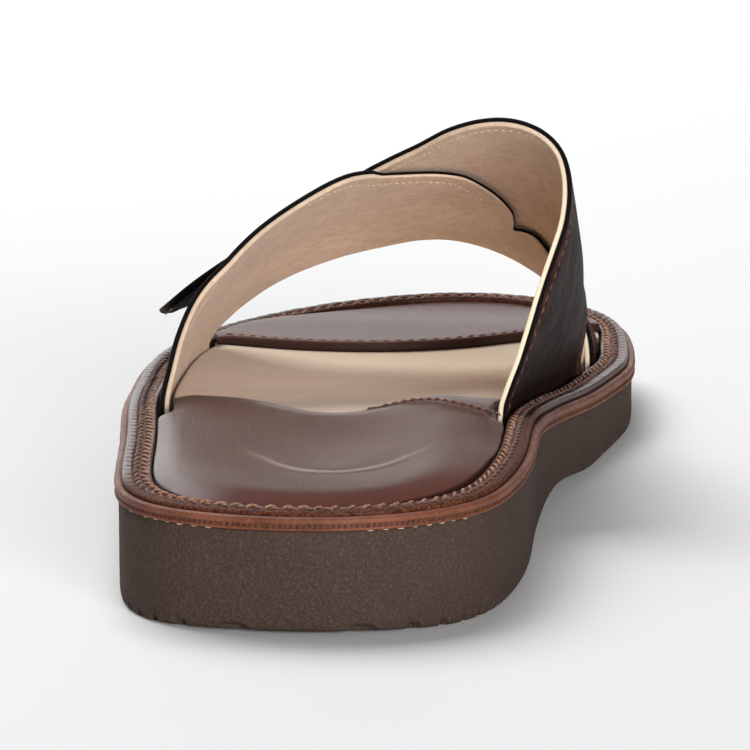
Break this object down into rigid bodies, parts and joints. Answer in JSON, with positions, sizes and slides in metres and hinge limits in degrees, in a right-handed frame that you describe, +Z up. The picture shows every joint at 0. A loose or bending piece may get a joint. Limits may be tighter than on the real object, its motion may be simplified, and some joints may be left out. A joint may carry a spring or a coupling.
{
  "type": "house slipper",
  "caption": "Left open-toe leather house slipper: crossed instep bands, moulded suede footbed with leather heel and toe pads, stitched rand and welt, thick foamed rubber sole.",
  "frame": {"origin": "on the floor, at the middle of the shoe's length and width", "axes": "+Y from the heel to the toe, +X to the medial side of this left shoe (the wearer's right), +Z up"},
  "size_m": [0.1064, 0.2776, 0.08],
  "materials": {
    "sole_rubber": "matt foamed rubber with a fine pebble grain",
    "welt_leather": "reddish brown waxed leather edge with wheel marks",
    "rand_leather": "dark brown polished leather with stitching",
    "bed_suede": "beige suede with a fine nap",
    "pad_leather": "dark brown grained leather, softly polished",
    "band_leather": "very dark brown glossy leather, cream lining, black painted edges"
  },
  "bodies": {
    "root": {"outsole": "sole_rubber", "welt": "welt_leather", "rand": "rand_leather", "footbed": "bed_suede", "heel_pad": "pad_leather", "toe_pad": "pad_leather", "upper": "band_leather"}
  },
  "joints": []
}
